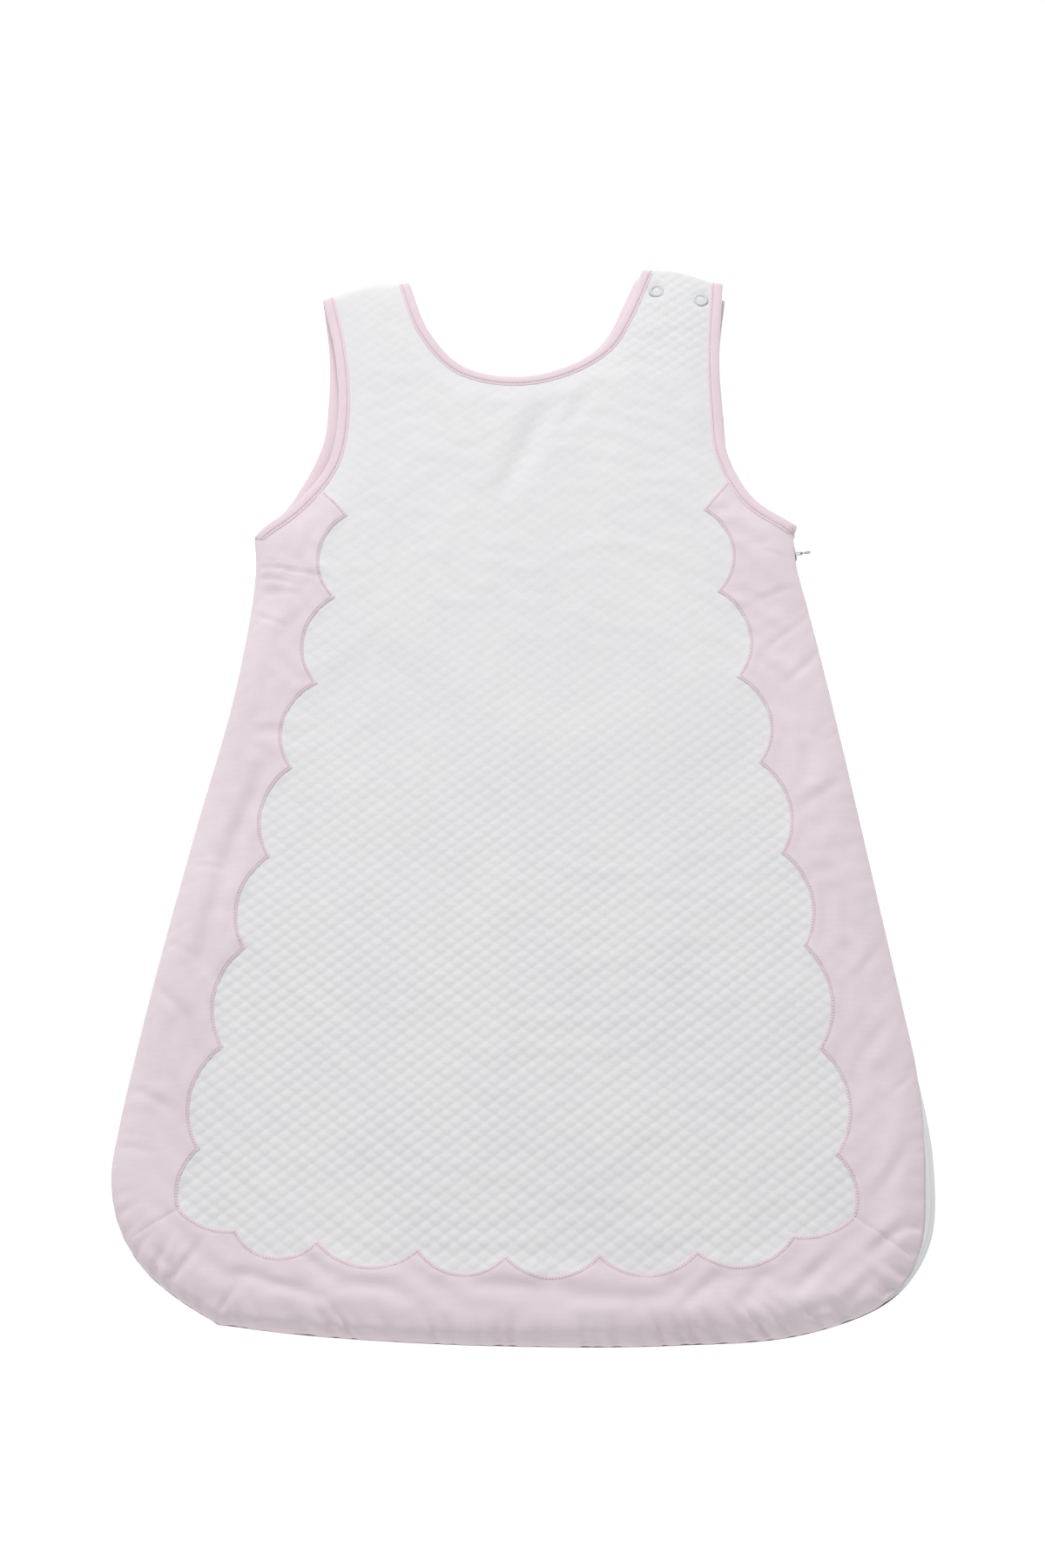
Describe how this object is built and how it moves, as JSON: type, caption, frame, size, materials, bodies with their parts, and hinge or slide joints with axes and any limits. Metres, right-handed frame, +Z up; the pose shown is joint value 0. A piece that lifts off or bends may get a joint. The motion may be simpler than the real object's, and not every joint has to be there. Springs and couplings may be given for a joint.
{
  "type": "baby sleeping bag",
  "caption": "Sleeveless quilted baby sleeping bag lying flat, with a scalloped border, bound neck and armholes, a zip from armpit to hem, and a shoulder that snaps open.",
  "frame": {"origin": "centre of the bag's footprint, on the surface it lies on, under the back panel", "axes": "+X towards the zip side, +Y from the hem to the neck (longest), +Z up out of the front (shortest)"},
  "size_m": [0.4491, 0.7068, 0.0188],
  "materials": {
    "white_matelasse": "raised diamond-quilted white cotton, matte",
    "pink_cotton": "plain fine-weave pale pink cotton, matte",
    "pink_binding": "folded pale pink bias tape with an edge stitch",
    "white_lining": "soft white cotton jersey, matte",
    "wadding": "lofty white polyester wadding",
    "zip_tape": "fine knitted white zip tape",
    "zip_coil": "white nylon coil",
    "snap_enamel": "white enamelled ring snap, semi-gloss",
    "zip_metal": "pale grey lacquered zinc, semi-gloss"
  },
  "bodies": {
    "back": {"back_outer_panel": "pink_cotton", "back_wadding": "wadding", "back_lining": "white_lining", "back_neck_binding": "pink_binding", "left_armhole_binding_back": "pink_binding", "right_armhole_binding_back": "pink_binding", "left_armhole_binding_front": "pink_binding", "front_lining_fold_side": "white_lining", "front_wadding_fold_side": "wadding", "front_centre_panel_fold_side": "white_matelasse", "border_left": "pink_cotton", "border_hem_fold_side": "pink_cotton", "left_side_seam": "pink_cotton", "left_shoulder_fold": "white_matelasse", "zip_tape_back": "zip_tape", "zip_coil_back": "zip_coil", "zip_top_stop_back": "zip_metal", "zip_bottom_stop": "zip_metal", "snap_stud_1": "snap_enamel", "snap_stud_2": "snap_enamel", "snap_back_ring_1": "snap_enamel", "snap_back_ring_2": "snap_enamel"},
    "front": {"front_lining": "white_lining", "front_wadding": "wadding", "front_centre_panel": "white_matelasse", "border_right": "pink_cotton", "border_hem": "pink_cotton", "front_neck_binding": "pink_binding", "right_armhole_binding_front": "pink_binding", "zip_tape_front": "zip_tape", "zip_coil_front": "zip_coil", "zip_top_stop_front": "zip_metal"},
    "shoulder_strap": {"strap_lining": "white_lining", "strap_wadding": "wadding", "strap_centre_panel": "white_matelasse", "strap_neck_binding": "pink_binding", "strap_armhole_binding": "pink_binding", "snap_cap_1": "snap_enamel", "snap_cap_2": "snap_enamel", "snap_socket_1": "snap_enamel", "snap_socket_2": "snap_enamel"},
    "slider": {"zip_slider": "zip_metal"},
    "pull": {"zip_pull": "zip_metal"}
  },
  "joints": [
    {"name": "front_open", "type": "hinge", "parent": "back", "child": "front", "pos_m": [-0.1235, 0.002, 0.0193], "axis": [-0.1134, -0.9935, 0], "range_deg": [0, 170]},
    {"name": "shoulder_open", "type": "hinge", "parent": "front", "child": "shoulder_strap", "pos_m": [0.09, 0.29, 0.0193], "axis": [1, 0, 0], "range_deg": [0, 150]},
    {"name": "zip_slide", "type": "slide", "parent": "back", "child": "slider", "axis": [0.143, -0.9897, 0], "range_m": [0, 0.325]},
    {"name": "pull_swing", "type": "hinge", "parent": "slider", "child": "pull", "pos_m": [0.17444, 0.1356, 0.0088], "axis": [0, 0, 1], "range_deg": [-80, 80]}
  ]
}
